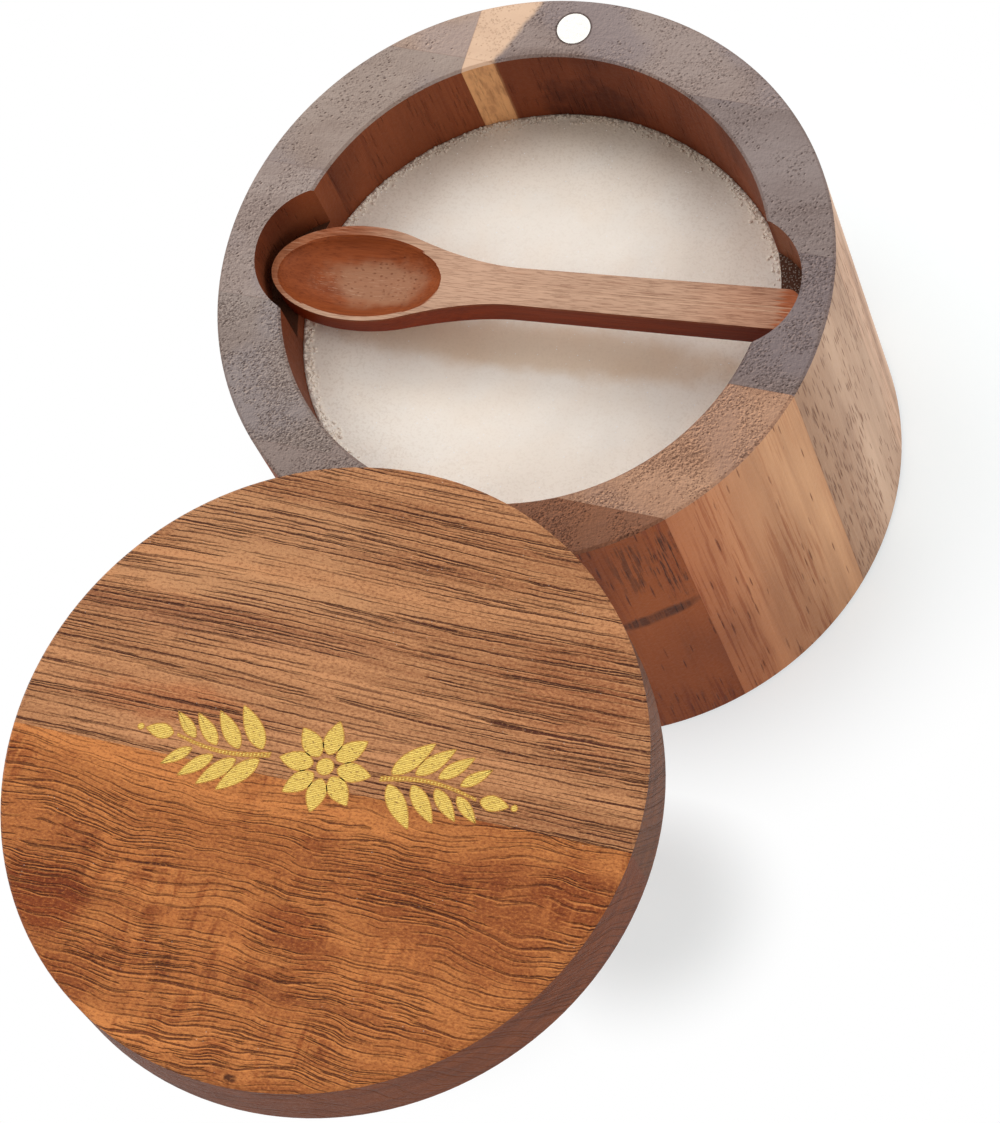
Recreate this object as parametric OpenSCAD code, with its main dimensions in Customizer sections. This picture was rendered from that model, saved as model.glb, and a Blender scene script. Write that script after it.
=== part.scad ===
// Round wooden salt box: a drum glued up from upright blocks, a lid that swings on a pin,
// and a small spoon that lies across two pockets under the rim.
// Frame: +Z up, origin at the middle of the underside, magnet toward +Y, lid pin toward -Y.

/* [Drum] */
// Outside diameter of the drum
drum_d = 94; // [84:1:104]
// Height of the drum without its lid
drum_h = 66.8; // [55:0.2:80]
// Diameter of the hollow
hollow_d = 74.4; // [66:0.2:76]
// Thickness of the floor
floor_t = 9; // [6:0.5:14]
// Size of the eased edges
ease = 0.4; // [0.2:0.1:0.8]

/* [Glued blocks] */
// Turn of the glue joints about the vertical
block_turn = -6.3; // [-10:0.1:10]
// Distance between neighbouring long joints
block_pitch = 22.6; // [20:0.2:26]
// Place of the joint that crosses the long joints
cross_joint = -19.8; // [-24:0.2:-10]

/* [Spoon pockets] */
// Radius of each round pocket in the wall
pocket_r = 11.1; // [8:0.1:11.4]
// Depth of each pocket into the wall, measured outward from the hollow
pocket_bite = 5; // [3:0.1:5.5]
// Offset of the pockets toward the magnet
pocket_y = 1.5; // [0:0.1:3]
// Depth of the ledge below the rim
pocket_depth = 10.3; // [9:0.1:12]

/* [Lid] */
// Thickness of the lid
lid_t = 11.8; // [10:0.1:14]
// Gap between the lid and the rim
lid_gap = 0.3; // [0.2:0.1:0.6]
// Swing of the lid from closed, as it is drawn
lid_open = 166.5; // [0:0.5:180]
// Turn of the joint between the two lid boards, with the lid closed
lid_joint_turn = 7.5; // [0:0.5:15]
// Offset of that joint from the middle of the lid
lid_joint_offset = 2.3; // [0:0.1:6]

/* [Magnets] */
// Diameter of each disc magnet
magnet_d = 5.2; // [4:0.1:6]
// Thickness of each disc magnet
magnet_t = 3; // [2:0.5:4]
// Distance of the magnets' centres in from the outside of the drum
magnet_inset = 5; // [4:0.1:6]
// Glue gap round a magnet, sleeve or pin
glue_gap = 0.05; // [0.03:0.01:0.1]

/* [Lid pin] */
// Distance of the pin's centre in from the outside of the drum
pin_inset = 3.8; // [3.5:0.1:5]
// Diameter of the pin
pin_d = 3; // [2:0.1:3.4]
// Depth that the pin goes into the lid
pin_in_lid = 8; // [6:0.5:9]
// Depth that the pin goes into the drum
pin_in_drum = 15; // [12:0.5:20]
// Radial clearance between the pin and its sleeve
pin_play = 0.05; // [0.02:0.01:0.08]
// Wall of the sleeve
sleeve_wall = 0.65; // [0.5:0.05:0.8]
// Wire width of the snap ring
ring_w = 0.4; // [0.3:0.05:0.5]
// Height of the snap ring
ring_h = 0.8; // [0.6:0.1:1.2]

/* [Spoon] */
// Level of the spoon's top face below the rim
spoon_drop = 4.8; // [4:0.1:5.5]
// Gap between the tip of the bowl and the far side of its pocket
tip_gap = 1.4; // [1:0.1:3]
// Gap between the end of the handle and the far side of its pocket
end_gap = 1; // [0.8:0.1:3]
// Turn of the spoon about the vertical
spoon_turn = -0.8; // [-2:0.1:2]
// Offset of the spoon toward the magnet
spoon_y = 0.3; // [-0.5:0.1:1]
// Half the length of the bowl's oval
bowl_a = 14; // [12:0.1:15]
// Half the width of the bowl
bowl_b = 7.95; // [6:0.05:9]
// Width of the rim at the bowl's tip
bowl_rim = 1.1; // [0.8:0.1:1.6]
// Half the width of the scooped hollow
scoop_b = 6.6; // [5:0.1:7]
// Depth of the scooped hollow
scoop_depth = 4.1; // [3:0.1:4.4]
// Offset of the scooped hollow from the middle line of the spoon
scoop_shift = -0.35; // [-0.6:0.05:0.6]
// Half the width of the handle at the neck
neck_w = 3.1; // [2.5:0.1:4]
// Half the width of the handle at its end
end_w = 3.35; // [2.5:0.05:4]
// Length of the blend from the bowl to the handle
neck_l = 17; // [12:1:22]

/* [Salt] */
// Level of the salt below the rim, at the middle
salt_drop = 17.1; // [16.5:0.1:30]
// Fall of the salt toward the right, in degrees
salt_fall_x = 5.2; // [0:0.1:6]
// Fall of the salt toward the magnet, in degrees
salt_fall_y = 2.35; // [0:0.05:3]
// Gap between the salt and the wall
salt_gap = 0.3; // [0.2:0.1:1]

/* [Hidden] */
$fn = 96;
drum_r = drum_d / 2;
hollow_r = hollow_d / 2;
far = drum_d;
pocket_reach = hollow_r + pocket_bite;
pocket_x = pocket_reach - pocket_r;
magnet_r = drum_r - magnet_inset;
pin_r = drum_r - pin_inset;
spoon_tip = tip_gap - pocket_reach;
spoon_end = pocket_reach - end_gap;
inner_joint = block_pitch / 2;
outer_joint = inner_joint + block_pitch;
sleeve_r = pin_d / 2 + pin_play + sleeve_wall;
sleeve_h = pin_in_drum - 1;
groove_low = drum_h - pin_in_drum + 2;
groove_play = 0.1;
lid_low = drum_h + lid_gap;
bowl_x = spoon_tip + bowl_a;
scoop_a = bowl_a - bowl_rim;
neck_x = bowl_x + 0.557 * bowl_a;
spoon_t = pocket_depth - spoon_drop;
end_round = 2;
under_r = 14.4;
tip_lift = spoon_t - 0.9;
tip_l = 5;
scoop_r = (scoop_b * scoop_b / scoop_depth + scoop_depth) / 2;
scoop_up = scoop_r - scoop_depth;
scoop_half = scoop_a / sqrt(1 - pow(scoop_up / scoop_r, 2));

// Plain cylinder with its top and bottom edges eased
module eased_disc(r, h) {
    rotate_extrude($fn = 180)
        polygon([[0, 0], [r - ease, 0], [r, ease], [r, h - ease], [r - ease, h], [0, h]]);
}

// The cutter that leaves the hollow, with the eased inner edge of the rim
module hollow_cut() {
    rotate_extrude($fn = 180)
        polygon([[0, floor_t], [hollow_r, floor_t], [hollow_r, drum_h - ease],
                 [hollow_r + ease + 1, drum_h + 1], [0, drum_h + 1]]);
}

// One round pocket in the wall, side is -1 for the left and 1 for the right
module pocket_cut(side) {
    translate([side * pocket_x, pocket_y, drum_h - pocket_depth])
        cylinder(r = pocket_r, h = pocket_depth + 1);
}

module magnet_seat() {
    translate([0, magnet_r, drum_h - magnet_t - glue_gap])
        cylinder(d = magnet_d + 2 * glue_gap, h = magnet_t + 1, $fn = 64);
}

module sleeve_seat() {
    translate([0, -pin_r, drum_h - pin_in_drum - glue_gap])
        cylinder(r = sleeve_r + glue_gap, h = pin_in_drum + 1, $fn = 64);
}

// The whole drum as one turned and milled piece, before it is told apart into blocks
module drum() {
    difference() {
        eased_disc(drum_r, drum_h);
        hollow_cut();
        pocket_cut(-1);
        pocket_cut(1);
        magnet_seat();
        sleeve_seat();
    }
}

// One glued block of the drum, between two cross places and two long joints
module block(from_x, to_x, from_y, to_y) {
    intersection() {
        drum();
        rotate([0, 0, block_turn])
            translate([from_x, from_y, -1])
                cube([to_x - from_x, to_y - from_y, drum_h + 2]);
    }
}

module block_left_back() {
    color("#a08a80") block(-far, cross_joint, outer_joint, far);
}
module block_left_upper() {
    color("#9c8378") block(-far, cross_joint, inner_joint, outer_joint);
}
module block_left_middle() {
    color("#98807a") block(-far, cross_joint, -inner_joint, inner_joint);
}
module block_left_lower() {
    color("#8f756c") block(-far, cross_joint, -outer_joint, -inner_joint);
}
module block_back() {
    color("#a58f84") block(cross_joint, far, outer_joint, far);
}
module block_right_upper() {
    color("#95807a") block(cross_joint, far, inner_joint, outer_joint);
}
module block_right_middle() {
    color("#8d7672") block(cross_joint, far, -inner_joint, inner_joint);
}
module block_right_lower() {
    color("#a3714f") block(cross_joint, far, -outer_joint, -inner_joint);
}
module block_front() {
    color("#6e4a3a") block(-far, far, -far, -outer_joint);
}

// Disc magnet lying with its lower face at z = 0
module disc_magnet() {
    color("#d9dade") cylinder(d = magnet_d, h = magnet_t, $fn = 64);
}

module rim_magnet() {
    translate([0, magnet_r, drum_h - magnet_t]) disc_magnet();
}

// Brass sleeve in the wall, with an inner groove for the snap ring
module pin_sleeve() {
    color("#c9a24f")
        translate([0, -pin_r, 0])
            difference() {
                translate([0, 0, drum_h - pin_in_drum])
                    cylinder(r = sleeve_r, h = pin_in_drum, $fn = 64);
                translate([0, 0, drum_h - sleeve_h])
                    cylinder(r = pin_d / 2 + pin_play, h = sleeve_h + 1, $fn = 64);
                translate([0, 0, groove_low - groove_play])
                    cylinder(r = pin_d / 2 + ring_w, h = ring_h + 2 * groove_play, $fn = 64);
            }
}

// Puts what is drawn for the closed lid where the open lid is
module swung() {
    translate([0, -pin_r, 0]) rotate([0, 0, lid_open]) translate([0, pin_r, 0]) children();
}

// The lid as one turned disc with its two blind holes, drawn closed
module lid_disc() {
    difference() {
        translate([0, 0, lid_low]) eased_disc(drum_r, lid_t);
        translate([0, magnet_r, lid_low - 1])
            cylinder(d = magnet_d + 2 * glue_gap, h = magnet_t + glue_gap + 1, $fn = 64);
        translate([0, -pin_r, lid_low - 1])
            cylinder(d = pin_d + 2 * glue_gap, h = pin_in_lid + glue_gap + 1, $fn = 64);
    }
}

// One board of the lid, side is 1 for the board with the magnet and -1 for the one with the pin
module lid_board(side) {
    swung() intersection() {
        lid_disc();
        rotate([0, 0, lid_joint_turn])
            translate([-far, lid_joint_offset + (side < 0 ? -far : 0), lid_low - 1])
                cube([2 * far, far, lid_t + 2]);
    }
}

module lid_board_pin_side() { color("#8f5f45") lid_board(-1); }
module lid_board_magnet_side() { color("#a0643f") lid_board(1); }

module lid_magnet() {
    swung() translate([0, magnet_r, lid_low]) disc_magnet();
}

// Steel pin, glued in the lid and free in the sleeve, with a neck for the snap ring
module lid_pin() {
    color("#b8bcc2") swung() translate([0, -pin_r, 0]) difference() {
        translate([0, 0, drum_h - sleeve_h + 0.3])
            cylinder(d = pin_d, h = sleeve_h - 0.3 + lid_gap + pin_in_lid, $fn = 64);
        difference() {
            translate([0, 0, groove_low]) cylinder(d = pin_d + 1, h = ring_h, $fn = 64);
            translate([0, 0, groove_low - 1]) cylinder(r = pin_d / 2 - ring_w, h = ring_h + 2, $fn = 64);
        }
    }
}

// Split ring that snaps from the pin's neck into the groove of the sleeve
module pin_snap_ring() {
    color("#85888c") swung() translate([0, -pin_r, groove_low + groove_play / 2]) difference() {
        cylinder(r = pin_d / 2 + ring_w - 0.1, h = ring_h - groove_play, $fn = 64);
        translate([0, 0, -1]) cylinder(r = pin_d / 2 - ring_w + 0.05, h = ring_h + 2, $fn = 64);
        translate([0, -ring_w, -1]) cube([pin_d, 2 * ring_w, ring_h + 2]);
    }
}

// Half the width of the spoon at a place along it: bowl, blended neck, handle and rounded end
function oval_w(x) = bowl_b * sqrt(max(0, 1 - pow((x - bowl_x) / bowl_a, 2)));
function handle_w(x) = neck_w + (end_w - neck_w) * max(0, x) / spoon_end;
function blend(t) = pow(1 - t, 2) * (1 + 0.25 * t);
function neck_fill(x) = (oval_w(neck_x) - neck_w) * blend(min(1, (x - neck_x) / neck_l));
function end_taper(x) = sqrt(max(0, 1 - pow(max(0, x - spoon_end + end_round) / end_round, 2)));
function spoon_w(x) = x < neck_x ? oval_w(x) : (handle_w(x) + neck_fill(x)) * (0.4 + 0.6 * end_taper(x));

// Places along the edge of the spoon, from the tip of the bowl to the end of the handle
edge_x = concat(
    [for (i = [1:24]) bowl_x - bowl_a * cos(i * 123 / 24)],
    [for (i = [1:10]) neck_x + i * neck_l / 10],
    [spoon_end - end_round],
    [for (i = [1:4]) spoon_end - end_round + end_round * sin(i * 22.5)]);
edge_n = len(edge_x);

// Outline of the spoon seen from above
module spoon_outline() {
    polygon(concat(
        [[spoon_tip, 0]],
        [for (i = [0:edge_n - 1]) [edge_x[i], -spoon_w(edge_x[i])]],
        [for (i = [edge_n - 1:-1:0]) [edge_x[i], spoon_w(edge_x[i])]]));
}

// Long barrel whose lower side is the rounded underside, lifted at the tip of the bowl
module underside_barrel() {
    translate([0, 0, under_r - spoon_t])
        rotate([0, 90, 0])
            rotate_extrude($fn = 180)
                polygon(concat(
                    [[0, spoon_tip - 1], [under_r - tip_lift, spoon_tip - 1]],
                    [for (i = [0:8]) let (a = i * 90 / 8)
                        [under_r - tip_lift * (1 - sin(a)), spoon_tip + tip_l * (1 - cos(a))]],
                    [[under_r, spoon_end + 1], [0, spoon_end + 1]]));
}

// Egg shape that cuts the scooped hollow of the bowl
module scoop_cut() {
    translate([bowl_x, scoop_shift, scoop_up])
        rotate([0, 90, 0])
            rotate_extrude($fn = 120)
                polygon([for (i = [0:30]) let (a = 180 - i * 6)
                    [scoop_r * sin(a), scoop_half * cos(a)]]);
}

// Spoon drawn in its own place, top face at z = 0
module spoon_form() {
    difference() {
        intersection() {
            translate([0, 0, -spoon_t]) linear_extrude(spoon_t) spoon_outline();
            underside_barrel();
        }
        scoop_cut();
    }
}

module spoon() {
    color("#b07a55")
        translate([0, spoon_y, drum_h - spoon_drop]) rotate([0, 0, spoon_turn]) spoon_form();
}

// The heap of salt, level fall as it was poured
module salt_fill() {
    color("#efe6dc") difference() {
        translate([0, 0, floor_t]) cylinder(r = hollow_r - salt_gap, h = drum_h - floor_t, $fn = 180);
        translate([0, 0, drum_h - salt_drop])
            rotate([-salt_fall_y, salt_fall_x, 0])
                translate([-far, -far, 0]) cube([2 * far, 2 * far, drum_h]);
    }
}

block_left_back();
block_left_upper();
block_left_middle();
block_left_lower();
block_back();
block_right_upper();
block_right_middle();
block_right_lower();
block_front();
rim_magnet();
pin_sleeve();
salt_fill();
lid_board_pin_side();
lid_board_magnet_side();
lid_magnet();
lid_pin();
pin_snap_ring();
spoon();
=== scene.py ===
import math
import random

import bmesh
import bpy
from mathutils import Euler, Matrix, Vector, noise


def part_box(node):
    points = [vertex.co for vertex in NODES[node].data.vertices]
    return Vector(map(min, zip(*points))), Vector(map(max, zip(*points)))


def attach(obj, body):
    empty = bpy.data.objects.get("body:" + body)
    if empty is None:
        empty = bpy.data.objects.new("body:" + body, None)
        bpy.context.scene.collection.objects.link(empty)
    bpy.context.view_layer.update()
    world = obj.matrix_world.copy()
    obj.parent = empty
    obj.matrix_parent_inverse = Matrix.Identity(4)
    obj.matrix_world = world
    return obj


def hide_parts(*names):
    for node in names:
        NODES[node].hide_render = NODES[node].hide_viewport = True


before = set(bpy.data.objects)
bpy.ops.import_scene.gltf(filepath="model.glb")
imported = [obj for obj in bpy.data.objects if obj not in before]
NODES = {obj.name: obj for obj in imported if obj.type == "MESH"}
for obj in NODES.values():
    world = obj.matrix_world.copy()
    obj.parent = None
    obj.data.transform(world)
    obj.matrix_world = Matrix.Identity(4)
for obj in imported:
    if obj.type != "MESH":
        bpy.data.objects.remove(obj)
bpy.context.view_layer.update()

bl_info = {
    "name": "Salt box",
    "version": (1, 0, 0),
    "blender": (4, 5, 0),
    "location": "View3D > Sidebar > Salt box",
    "description": "Builds the finishes and fine pieces of a round wooden salt box",
    "category": "Object",
}

MM = 0.001
RIM_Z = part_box("block_front")[1].z
DRUM_R = -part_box("block_front")[0].y
LID_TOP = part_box("lid_board_pin_side")[1].z
SPOON_LOW, SPOON_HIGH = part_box("spoon")
SALT_LOW, SALT_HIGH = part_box("salt_fill")
MAGNET = (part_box("rim_magnet")[0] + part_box("rim_magnet")[1]) / 2
JOINT_TURN = math.radians(-6.3)
JOINT_PITCH = 22.6
CROSS_JOINT = -19.8
LID_GRAIN = math.radians(-5.9)


def lid_centre():
    """Middle of the open lid's top face, from the outer sides of its two boards."""
    boxes = [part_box("lid_board_pin_side"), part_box("lid_board_magnet_side")]
    low = [min(box[0][i] for box in boxes) for i in range(2)]
    high = [max(box[1][i] for box in boxes) for i in range(2)]
    return Vector(((low[0] + high[0]) / 2, (low[1] + high[1]) / 2, LID_TOP))


def shade(red, green, blue):
    """Linear colour of an sRGB colour written 0 to 255."""
    return tuple((c / 255 / 12.92) if c < 10.3 else ((c / 255 + 0.055) / 1.055) ** 2.4
                 for c in (red, green, blue))


def tones(colour, *factors):
    """Darker and lighter tones of one wood; darker ones turn a little redder."""
    return [tuple(min(1.0, c * k ** e) for c, e in zip(colour, (0.9, 1.08, 1.15))) for k in factors]


class Finish:
    """A material under construction, with short calls for the nodes it uses."""

    def __init__(self, name, owner=None):
        self.material = owner or bpy.data.materials.new(name)
        self.material.use_nodes = True
        self.tree = self.material.node_tree
        self.tree.nodes.clear()

    def add(self, kind, inputs=None, **settings):
        made = self.tree.nodes.new(kind)
        for key, value in settings.items():
            setattr(made, key, value)
        for key, value in (inputs or {}).items():
            self.put(made.inputs[key], value)
        return made

    def put(self, socket, value):
        if isinstance(value, bpy.types.NodeSocket):
            self.tree.links.new(value, socket)
        elif value is not None:
            socket.default_value = value

    def math(self, operation, a, b=None, c=None):
        made = self.add("ShaderNodeMath", operation=operation)
        for socket, value in zip(made.inputs, (a, b, c)):
            self.put(socket, value)
        return made.outputs[0]

    def times(self, *values):
        result = values[0]
        for value in values[1:]:
            result = self.math("MULTIPLY", result, value)
        return result

    def total(self, *values):
        result = values[0]
        for value in values[1:]:
            result = self.math("ADD", result, value)
        return result

    def most(self, a, b):
        return self.math("MAXIMUM", a, b)

    def point(self, centre=(0.0, 0.0, 0.0), turn=0.0):
        """Object coordinates in millimetres about a centre, x along a direction in the plan."""
        made = self.add("ShaderNodeMapping", {
            "Vector": self.add("ShaderNodeTexCoord").outputs["Object"], "Location": centre,
            "Rotation": (0.0, 0.0, turn), "Scale": (MM, MM, MM)}, vector_type="TEXTURE")
        return made.outputs["Vector"]

    def split(self, vector):
        return self.add("ShaderNodeSeparateXYZ", {"Vector": vector}).outputs[:3]

    def join(self, x, y, z):
        return self.add("ShaderNodeCombineXYZ", {"X": x, "Y": y, "Z": z}).outputs["Vector"]

    def scaled(self, vector, scale, shift=(0.0, 0.0, 0.0)):
        made = self.add("ShaderNodeVectorMath", operation="MULTIPLY_ADD")
        for socket, value in zip(made.inputs, (vector, scale, shift)):
            self.put(socket, value)
        return made.outputs["Vector"]

    def reach(self, vector):
        return self.add("ShaderNodeVectorMath", {0: vector}, operation="LENGTH").outputs["Value"]

    def noise(self, vector, detail=2.0, roughness=0.5, distortion=0.0):
        made = self.add("ShaderNodeTexNoise", {"Vector": vector, "Scale": 1.0, "Detail": detail,
                                               "Roughness": roughness, "Distortion": distortion})
        return made.outputs["Fac"]

    def cells(self, vector, space="3D"):
        made = self.add("ShaderNodeTexVoronoi", {"Vector": vector, "Scale": 1.0}, voronoi_dimensions=space)
        return made.outputs["Distance"], made.outputs["Color"]

    def pits(self, vector, share, core=0.14, edge=0.34):
        """Small pits in a plane, one in a share of its cells: 1 at the heart, 0 outside."""
        gap, pick = self.cells(vector, "2D")
        chance, depth, _ = self.split(pick)
        kept = self.math("LESS_THAN", chance, share)
        return self.times(self.between(gap, edge, core), kept, self.math("MULTIPLY_ADD", depth, 0.6, 0.4))

    def between(self, value, low, high, out_low=0.0, out_high=1.0):
        """Maps value smoothly from low..high to out_low..out_high."""
        if isinstance(low, (int, float)) and low > high:
            low, high, out_low, out_high = high, low, out_high, out_low
        made = self.add("ShaderNodeMapRange", {"Value": value, "From Min": low, "From Max": high,
                                               "To Min": out_low, "To Max": out_high},
                        interpolation_type="SMOOTHSTEP")
        return made.outputs["Result"]

    def patch(self, vector, centre, size, ragged=0.5, scale=0.3):
        """Soft ragged patch about a centre: 1 inside, 0 outside."""
        near = self.scaled(vector, [1 / s for s in size], [-c / s for c, s in zip(centre, size)])
        rough = self.noise(self.scaled(vector, (scale, scale, scale)), 3.0)
        far = self.math("MULTIPLY_ADD", self.math("SUBTRACT", rough, 0.5), ragged * 4, self.reach(near))
        return self.between(far, 1.25, 0.55)

    def ramp(self, value, stops):
        made = self.add("ShaderNodeValToRGB", {"Fac": value})
        marks = made.color_ramp.elements
        while len(marks) < len(stops):
            marks.new(0.5)
        for mark, (place, colour) in zip(marks, stops):
            mark.position = place
            mark.color = (*colour, 1.0)
        return made.outputs["Color"]

    def mix(self, amount, a, b, blend="MIX"):
        made = self.add("ShaderNodeMix", data_type="RGBA", blend_type=blend, clamp_factor=True)
        self.put(made.inputs["Factor"], amount)
        for socket, value in ((made.inputs[6], a), (made.inputs[7], b)):
            self.put(socket, (*value, 1.0) if isinstance(value, (tuple, list)) else value)
        return made.outputs[2]

    def tinted(self, colour, amount, tint):
        """Multiplies a colour by a tint, as far as amount says."""
        return self.mix(amount, colour, tint, "MULTIPLY")

    def upward(self):
        """How far the surface faces straight up or down, 0 to 1."""
        normal = self.split(self.add("ShaderNodeTexCoord").outputs["Normal"])
        return self.math("ABSOLUTE", normal[2])

    def seen(self):
        """1 where the camera, or a mirror or glass in front of it, looks."""
        path = self.add("ShaderNodeLightPath").outputs
        return self.most(path["Is Camera Ray"], self.most(path["Is Glossy Ray"], path["Is Transmission Ray"]))

    def bump(self, height, strength, distance):
        made = self.add("ShaderNodeBump", {"Height": height, "Strength": strength, "Distance": distance})
        return made.outputs["Normal"]

    def finish(self, colour, roughness=0.5, normal=None, **constants):
        shader = self.add("ShaderNodeBsdfPrincipled", {"Base Color": colour, "Roughness": roughness})
        if normal is not None:
            self.put(shader.inputs["Normal"], normal)
        for name, value in constants.items():
            shader.inputs[name.replace("_", " ")].default_value = value
        out = self.add("ShaderNodeOutputMaterial")
        self.tree.links.new(shader.outputs[0], out.inputs["Surface"])
        return self.material


class Block:
    """What sets one glued block of the drum apart from the others."""

    def __init__(self, seed, rim, wall, inner, pits=0.35, fine=0.5, dashes=0.4, streaks=0.4, band=0.35,
                 pocket=False):
        self.seed = seed
        self.rim = rim
        self.wall = wall
        self.inner = inner
        self.pits = pits
        self.fine = fine
        self.dashes = dashes
        self.streaks = streaks
        self.band = band
        self.pocket = pocket


BLOCKS = {
    "block_left_back": Block(1.7, (1.3, 1.19, 1.07), (0.8, 0.68, 0.58), (1.0, 1.0, 1.0), 0.1, 0.3),
    "block_left_upper": Block(4.1, (0.97, 0.94, 0.9), (0.8, 0.68, 0.58), (1.0, 1.0, 1.0), 0.25, 0.3),
    "block_left_middle": Block(7.3, (0.97, 0.96, 0.96), (0.8, 0.66, 0.54), (1.0, 1.0, 1.0), 0.3, 0.45),
    "block_left_lower": Block(9.9, (0.87, 0.88, 0.88), (0.75, 0.62, 0.5), (1.0, 1.0, 1.0), 0.85, 0.85),
    "block_back": Block(12.3, (0.87, 0.84, 0.84), (0.9, 0.76, 0.62), (0.85, 0.78, 0.75), 0.25, 0.5, band=0.6),
    "block_right_upper": Block(14.2, (0.72, 0.71, 0.74), (1.5, 1.7, 2.0), (0.9, 0.85, 0.8), 0.4, 0.3,
                               pocket=True),
    "block_right_middle": Block(15.1, (0.66, 0.63, 0.65), (1.22, 1.37, 1.6), (0.95, 0.95, 0.95), 0.85, 0.7,
                                dashes=0.9, streaks=0.3, pocket=True),
    "block_right_lower": Block(18.7, (1.25, 0.88, 0.62), (1.24, 1.11, 0.97), (1.0, 1.0, 1.0), 0.1, 1.0,
                               dashes=0.12, streaks=0.75),
    "block_front": Block(21.9, (0.75, 0.39, 0.22), (0.6, 0.26, 0.1), (1.0, 1.0, 1.0), 0.5, 0.8, streaks=0.95),
}


def toned(colour, factors):
    return tuple(min(1.0, c * k) for c, k in zip(colour, factors))


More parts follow.
